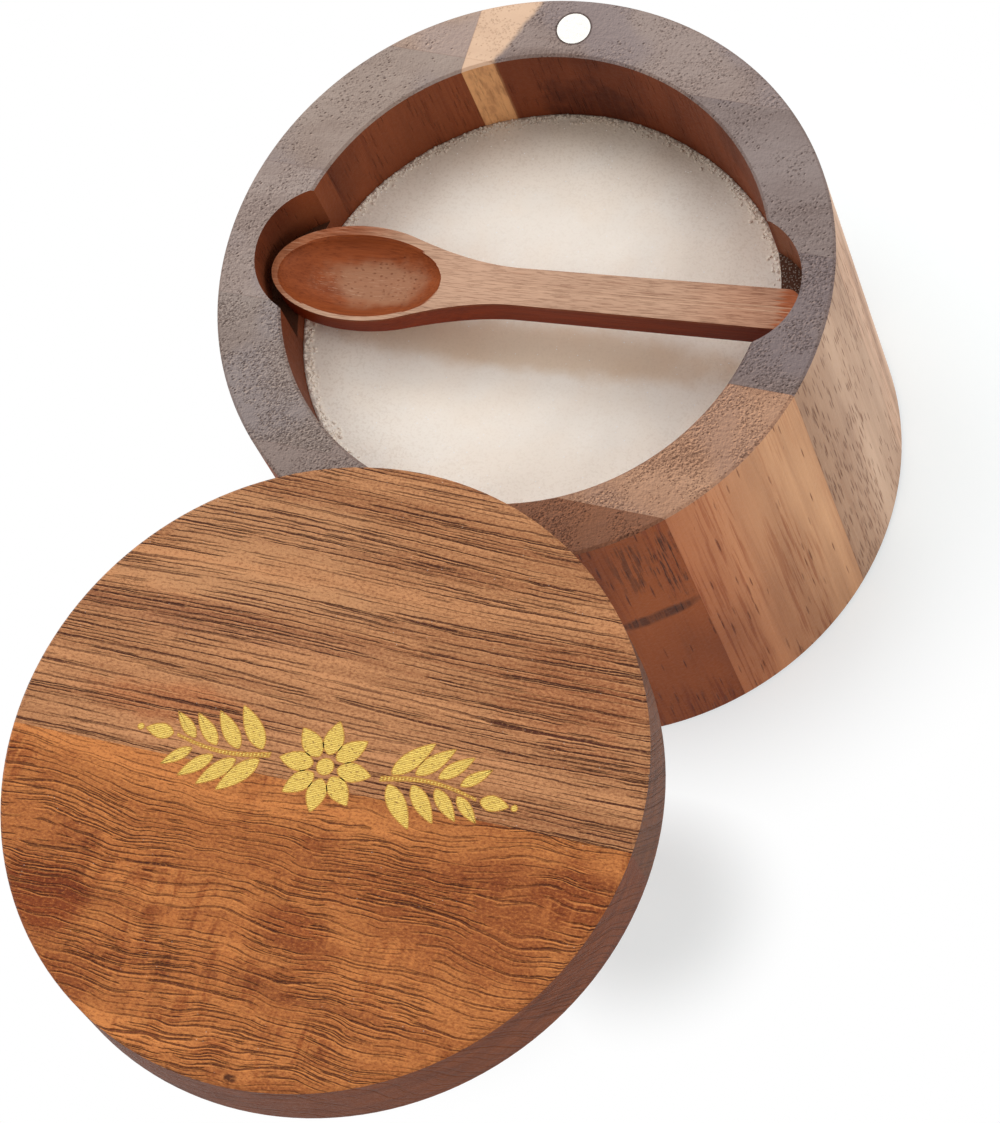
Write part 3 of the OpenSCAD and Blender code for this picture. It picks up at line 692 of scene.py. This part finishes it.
class SALTBOX_OT_hardware(bpy.types.Operator):
    """Finish the magnets, the pin, its sleeve and its snap ring"""

    bl_idname = "saltbox.hardware"
    bl_label = "Hardware"

    def execute(self, context):
        colours = context.scene.saltbox_colours
        nickel = metal("nickel_plate", tuple(colours.nickel), 0.3, 0.35)
        wear(NODES["rim_magnet"], nickel)
        wear(NODES["lid_magnet"], nickel)
        wear(NODES["pin_sleeve"], metal("turned_brass", tuple(colours.brass), 0.35))
        wear(NODES["lid_pin"], metal("ground_steel", tuple(colours.steel), 0.3))
        wear(NODES["pin_snap_ring"], metal("spring_steel", toned(colours.steel, (0.6, 0.6, 0.6)), 0.35))
        return {"FINISHED"}


class SALTBOX_OT_spoon(bpy.types.Operator):
    """Carve the spoon: oval bowl, scooped hollow, blended neck and slim handle"""

    bl_idname = "saltbox.spoon"
    bl_label = "Spoon"

    def execute(self, context):
        size = context.scene.saltbox_spoon
        top = SPOON_HIGH.z
        thick = SPOON_HIGH.z - SPOON_LOW.z
        tip, end = SPOON_LOW.x, SPOON_HIGH.x
        bowl_a, bowl_b = size.bowl_length / 2, size.bowl_width / 2
        bowl_x = tip + bowl_a
        scoop_a, scoop_b = bowl_a - size.rim_width, size.scoop_width / 2
        neck_x = bowl_x + 0.557 * bowl_a
        round_end = 2 * MM

        def oval(x, a, b):
            return b * math.sqrt(max(0.0, 1 - ((x - bowl_x) / a) ** 2))

        def half_width(x):
            if x < neck_x:
                w = oval(x, bowl_a, bowl_b)
            else:
                t = min(1.0, (x - neck_x) / size.neck_length)
                grip = size.neck_width / 2 + (size.end_width - size.neck_width) / 2 * max(0.0, x) / end
                w = grip + (oval(neck_x, bowl_a, bowl_b) - size.neck_width / 2) * (1 - t) ** 2 * (1 + 0.25 * t)
            past = min(1.0, max(0.0, x - end + round_end) / round_end)
            return max(w * (0.4 + 0.6 * math.sqrt(1 - past ** 2)), 0.12 * MM)

        def scoop_z(x, y):
            rho = ((x - bowl_x) / scoop_a) ** 2 + ((y - size.scoop_shift) / scoop_b) ** 2
            return 0.0 if rho >= 1 else -size.scoop_depth * (1 - rho) ** 0.72

        def under_z(x, share):
            lift = (1 - min(1.0, (x - tip) / (5 * MM))) ** 3
            rise = 0.34 * MM * share ** 2
            if x < neck_x + size.neck_length:
                rise += 1.5 * MM * share ** 2 * max(0.0, half_width(x) / bowl_b - 0.38) / 0.62
            return -thick + (thick - 0.9 * MM) * lift + rise

        bm = bmesh.new()
        bmesh.ops.create_grid(bm, x_segments=380, y_segments=44, size=1.0)
        for vert in bm.verts:
            u, v = (vert.co.x + 1) / 2, vert.co.y
            if u < 0.6:
                x = bowl_x - bowl_a * math.cos(u / 0.6 * math.pi)
            else:
                start = bowl_x + bowl_a
                x = start + (end - start) * math.sin((u - 0.6) / 0.4 * math.pi / 2)
            w = half_width(x)
            shift = size.scoop_shift * min(1.0, oval(x, scoop_a, scoop_b) / scoop_b)
            s = min(max(oval(x, scoop_a, scoop_b), 0.25 * w), 0.9 * w)
            share = abs(v)
            if share < 0.8:
                y = shift + v / 0.8 * s
            else:
                rim = (share - 0.8) / 0.2
                y = math.copysign(w, v) * rim + (shift + math.copysign(s, v)) * (1 - rim)
            vert.co = Vector((x, y, scoop_z(x, y)))
        made = bmesh.ops.extrude_face_region(bm, geom=list(bm.faces))
        for vert in [g for g in made["geom"] if isinstance(g, bmesh.types.BMVert)]:
            vert.co.z = under_z(vert.co.x, min(1.0, abs(vert.co.y) / half_width(vert.co.x)))
        lay = Matrix.Translation((0, size.offset, top)) @ Matrix.Rotation(size.turn, 4, "Z")
        bmesh.ops.transform(bm, matrix=lay, verts=bm.verts)
        spoon = piece_from("spoon_carved", bm, [spoon_wood(tuple(context.scene.saltbox_colours.spoon))],
                           "spoon", smooth=False)
        bevel = spoon.modifiers.new("soft edges", "BEVEL")
        bevel.width = 0.3 * MM
        bevel.segments = 3
        bevel.limit_method = "ANGLE"
        bevel.angle_limit = math.radians(50)
        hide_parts("spoon")
        return {"FINISHED"}


class SALTBOX_OT_salt(bpy.types.Operator):
    """Pour the salt: a soft uneven surface with loose grains, thick along the wall"""

    bl_idname = "saltbox.salt"
    bl_label = "Salt"

    def execute(self, context):
        size = context.scene.saltbox_salt
        radius = SALT_HIGH.x + 0.25 * MM

        def level(x, y):
            fall = RIM_Z - size.drop - size.fall_x * x - size.fall_y * y
            wave = noise.noise(Vector((x, y, 0)) * 45) * 0.8 * MM + noise.noise(Vector((x, y, 7)) * 150) * 0.3 * MM
            return fall + wave

        bm = bmesh.new()
        line = [bm.verts.new((radius * i / 46, 0, 0)) for i in range(47)]
        edges = [bm.edges.new(pair) for pair in zip(line, line[1:])]
        bmesh.ops.spin(bm, geom=line + edges, cent=(0, 0, 0), axis=(0, 0, 1), angle=math.tau,
                       steps=220, use_merge=True)
        bmesh.ops.remove_doubles(bm, verts=bm.verts, dist=1e-7)
        for vert in bm.verts:
            vert.co.z = level(vert.co.x, vert.co.y)
        made = bmesh.ops.extrude_edge_only(bm, edges=[e for e in bm.edges if e.is_boundary])
        for vert in [g for g in made["geom"] if isinstance(g, bmesh.types.BMVert)]:
            vert.co.z = SALT_LOW.z
        bmesh.ops.contextual_create(bm, geom=[e for e in bm.edges if e.is_boundary])
        finish = salt_finish(tuple(context.scene.saltbox_colours.salt))
        heap = piece_from("salt_heap", bm, [finish], "box")
        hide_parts("salt_fill")

        rng = random.Random(11)
        grains = bmesh.new()
        batch = bpy.data.meshes.new("grain_batch")
        for group in range(10):
            few = bmesh.new()
            for i in range(250):
                turn = rng.uniform(0, math.tau)
                width = size.grain * rng.uniform(0.6, 1.0)
                at = radius + 0.1 * MM - width / 2 - min(2.4, abs(rng.gauss(0, 0.7))) * MM
                x, y = at * math.cos(turn), at * math.sin(turn)
                place = Matrix.Translation((x, y, level(x, y) + width * rng.uniform(-0.4, 0.15)))
                tilt = Euler([rng.uniform(0, 3) for _ in range(3)]).to_matrix().to_4x4()
                bmesh.ops.create_icosphere(few, subdivisions=1, radius=width / 2, matrix=place @ tilt)
            few.to_mesh(batch)
            few.free()
            grains.from_mesh(batch)
        bpy.data.meshes.remove(batch)
        piece_from("salt_grains", grains, [finish], "box", smooth=False)
        return {"FINISHED"}


class SALTBOX_OT_ornament(bpy.types.Operator):
    """Lay the gilt ornament on the lid: a flower between two leafy sprigs"""

    bl_idname = "saltbox.ornament"
    bl_label = "Ornament"

    def execute(self, context):
        size = context.scene.saltbox_ornament
        bm = bmesh.new()

        def leaf(x, y, long, wide, turn):
            made = bmesh.ops.create_circle(bm, cap_ends=True, segments=28, radius=1.0)
            for vert in made["verts"]:
                u = vert.co.x
                vert.co.y *= 0.45 + 0.55 * (1 - u * u) ** 0.5
                vert.co.y *= 1 - 0.3 * u
            place = (Matrix.Translation((x, y, 0)) @ Matrix.Rotation(turn, 4, "Z")
                     @ Matrix.Translation((long / 2, 0, 0)) @ Matrix.Diagonal((long / 2, wide / 2, 1, 1)))
            bmesh.ops.transform(bm, matrix=place, verts=made["verts"])

        def disc(x, y, across):
            made = bmesh.ops.create_circle(bm, cap_ends=True, segments=24, radius=across / 2)
            bmesh.ops.translate(bm, vec=(x, y, 0), verts=made["verts"])

        half = size.span / 2
        petal = size.rosette / 2
        for k in range(8):
            turn = k * math.tau / 8
            leaf(1.75 * MM * math.cos(turn), 1.75 * MM * math.sin(turn), petal - 1.75 * MM, 3.0 * MM, turn)
        disc(0, 0, 2.7 * MM)
        for side in (-1, 1):
            start, stop = petal + 1.3 * MM, half - 6.2 * MM

            def stem_y(x):
                return side * 1.1 * MM * math.sin((x - start) / (stop - start) * math.pi)

            made = bmesh.ops.create_grid(bm, x_segments=28, y_segments=1, size=0.5)
            for vert in made["verts"]:
                x = start + (vert.co.x + 0.5) * (stop - start)
                taper = 1.0 - 0.45 * (vert.co.x + 0.5)
                vert.co = Vector((side * x, stem_y(x) + vert.co.y * size.stem * taper, 0))
            for k in range(4):
                x = start + (0.07 + 0.235 * k) * (stop - start)
                long = size.leaf * (1 - 0.11 * k)
                for up in (-1, 1):
                    turn = up * math.radians(50 - 3 * k)
                    if side < 0:
                        turn = math.pi - turn
                    base = stem_y(x) + up * (size.stem / 2 + 0.3 * MM)
                    leaf(side * (x + 0.4 * MM), base, long, long * 0.36, turn)
            leaf(side * (stop + 0.5 * MM), stem_y(stop), 4.4 * MM, 2.4 * MM, 0 if side > 0 else math.pi)
            disc(side * (half - 0.55 * MM), 0, 1.1 * MM)
        bmesh.ops.recalc_face_normals(bm, faces=bm.faces)
        whole = list(bm.faces)
        made = bmesh.ops.inset_individual(bm, faces=whole, thickness=0.16 * MM, use_even_offset=True)
        for face in made["faces"]:
            face.material_index = 1
        made = bmesh.ops.extrude_face_region(bm, geom=list(bm.faces))
        bmesh.ops.translate(bm, vec=(0, 0, size.relief),
                            verts=[g for g in made["geom"] if isinstance(g, bmesh.types.BMVert)])
        place = (Matrix.Translation(lid_centre()) @ Matrix.Rotation(LID_GRAIN - math.radians(0.6), 4, "Z")
                 @ Matrix.Translation((0.5 * MM, 0.75 * MM, 0)))
        bmesh.ops.transform(bm, matrix=place, verts=bm.verts)
        gold = tuple(context.scene.saltbox_colours.gold)
        piece_from("lid_ornament", bm, [gilt("gilt_foil", gold, 0.8),
                                        gilt("gilt_edge", toned(gold, (0.7, 0.5, 0.3)), 0.5)],
                   "lid", smooth=False)
        return {"FINISHED"}


class SALTBOX_OT_stage(bpy.types.Operator):
    """Set the pale floor, the soft lights and the camera"""

    bl_idname = "saltbox.stage"
    bl_label = "Stage"

    def execute(self, context):
        size = context.scene.saltbox_stage
        scene = context.scene
        scene.view_settings.view_transform = "Standard"
        self.floor(scene)
        self.room(scene)
        self.softbox("window_left", (-0.75, 0.3, 1.05), 0.95, 4.6)
        self.softbox("window_back", (-0.1, 0.85, 1.0), 0.6, 2.4)
        self.softbox("fill_right", (0.95, -0.35, 0.6), 0.6, 2.4)

        data = bpy.data.cameras.new("photo_view")
        data.lens = size.lens
        data.sensor_width = 36.0
        data.clip_start = 0.01
        camera = bpy.data.objects.new("photo_view", data)
        a, e = size.azimuth, size.elevation
        back = Vector((math.cos(a) * math.cos(e), math.sin(a) * math.cos(e), math.sin(e)))
        camera.location = Vector(size.look_at) + back * size.distance
        level = (-back).to_track_quat("-Z", "Y").to_matrix().to_4x4()
        camera.rotation_euler = (level @ Matrix.Rotation(size.roll, 4, "Z")).to_euler()
        scene.collection.objects.link(camera)
        scene.camera = camera
        return {"FINISHED"}

    def floor(self, scene):
        bm = bmesh.new()
        bmesh.ops.create_circle(bm, cap_ends=True, segments=96, radius=6.0)
        bmesh.ops.translate(bm, vec=(0, 0, -0.0001), verts=bm.verts)
        mesh = bpy.data.meshes.new("floor")
        bm.to_mesh(mesh)
        bm.free()
        floor = bpy.data.objects.new("floor", mesh)
        scene.collection.objects.link(floor)
        f = Finish("white_floor")
        diffuse = f.add("ShaderNodeBsdfDiffuse", {"Color": (0.88, 0.88, 0.88, 1.0)})
        p = f.point()

        def spot(centre, size, outer, inner, dark):
            """Soft oval on the floor, in millimetres, where the shadow is kept."""
            near = f.scaled(p, [1 / r for r in size] + [0.0], [-c / r for c, r in zip(centre, size)] + [0.0])
            return f.between(f.reach(near), outer, inner, 0.0, dark)

        shadow = f.most(spot((18.0, -74.0), (24.0, 22.0), 1.1, 0.3, 0.85), spot((8.0, 8.0), (74.0, 74.0), 1.0, 0.6, 0.6))
        shadow = f.most(shadow, spot((-20.0, -74.0), (43.0, 37.0), 1.05, 0.3, 0.8))
        soft = f.add("ShaderNodeBsdfDiffuse", {"Color": f.mix(shadow, (0.0, 0.0, 0.0), (0.9, 0.98, 1.0))})
        glow = f.add("ShaderNodeEmission", {"Strength": f.math("MULTIPLY_ADD", shadow, -0.89, 1.0)})
        lit = f.add("ShaderNodeAddShader", {0: soft.outputs[0], 1: glow.outputs[0]})
        pick = f.add("ShaderNodeMixShader", {0: f.seen(), 1: diffuse.outputs[0], 2: lit.outputs[0]})
        f.add("ShaderNodeOutputMaterial", {"Surface": pick.outputs[0]})
        mesh.materials.append(f.material)

    def room(self, scene):
        world = bpy.data.worlds.new("white_room")
        scene.world = world
        f = Finish("white_room", world)
        ambient = f.add("ShaderNodeBackground", {"Color": (1, 1, 1, 1), "Strength": 0.69})
        white = f.add("ShaderNodeBackground", {"Color": (1, 1, 1, 1), "Strength": 1.0})
        swap = f.add("ShaderNodeMixShader", {0: f.seen(), 1: ambient.outputs[0], 2: white.outputs[0]})
        f.add("ShaderNodeOutputWorld", {"Surface": swap.outputs[0]})

    def softbox(self, name, place, width, watts):
        data = bpy.data.lights.new(name, "AREA")
        data.shape = "DISK"
        data.size = width
        data.energy = watts
        lamp = bpy.data.objects.new(name, data)
        lamp.location = Vector(place)
        aim = Vector((0, -0.04, 0.05)) - lamp.location
        lamp.rotation_euler = aim.to_track_quat("-Z", "Y").to_euler()
        bpy.context.scene.collection.objects.link(lamp)


class SALTBOX_PT_panel(bpy.types.Panel):
    bl_label = "Salt box"
    bl_idname = "SALTBOX_PT_panel"
    bl_space_type = "VIEW_3D"
    bl_region_type = "UI"
    bl_category = "Salt box"

    def draw(self, context):
        for step in STEPS:
            self.layout.operator(step.bl_idname)
        for name, group in GROUPS.items():
            for prop in group.__annotations__:
                self.layout.prop(getattr(context.scene, name), prop)


GROUPS = {
    "saltbox_colours": SaltBoxColours,
    "saltbox_spoon": SaltBoxSpoon,
    "saltbox_salt": SaltBoxSalt,
    "saltbox_ornament": SaltBoxOrnament,
    "saltbox_stage": SaltBoxStage,
}
STEPS = (SALTBOX_OT_drum, SALTBOX_OT_lid, SALTBOX_OT_hardware, SALTBOX_OT_spoon, SALTBOX_OT_salt,
         SALTBOX_OT_ornament, SALTBOX_OT_stage)


def register():
    for group in (*GROUPS.values(), *STEPS, SALTBOX_PT_panel):
        bpy.utils.register_class(group)
    for name, group in GROUPS.items():
        setattr(bpy.types.Scene, name, bpy.props.PointerProperty(type=group))


def unregister():
    for name in GROUPS:
        delattr(bpy.types.Scene, name)
    for group in reversed((*GROUPS.values(), *STEPS, SALTBOX_PT_panel)):
        bpy.utils.unregister_class(group)


def main():
    register()
    for step in STEPS:
        group, name = step.bl_idname.split(".")
        getattr(getattr(bpy.ops, group), name)()


if __name__ == "__main__":
    main()
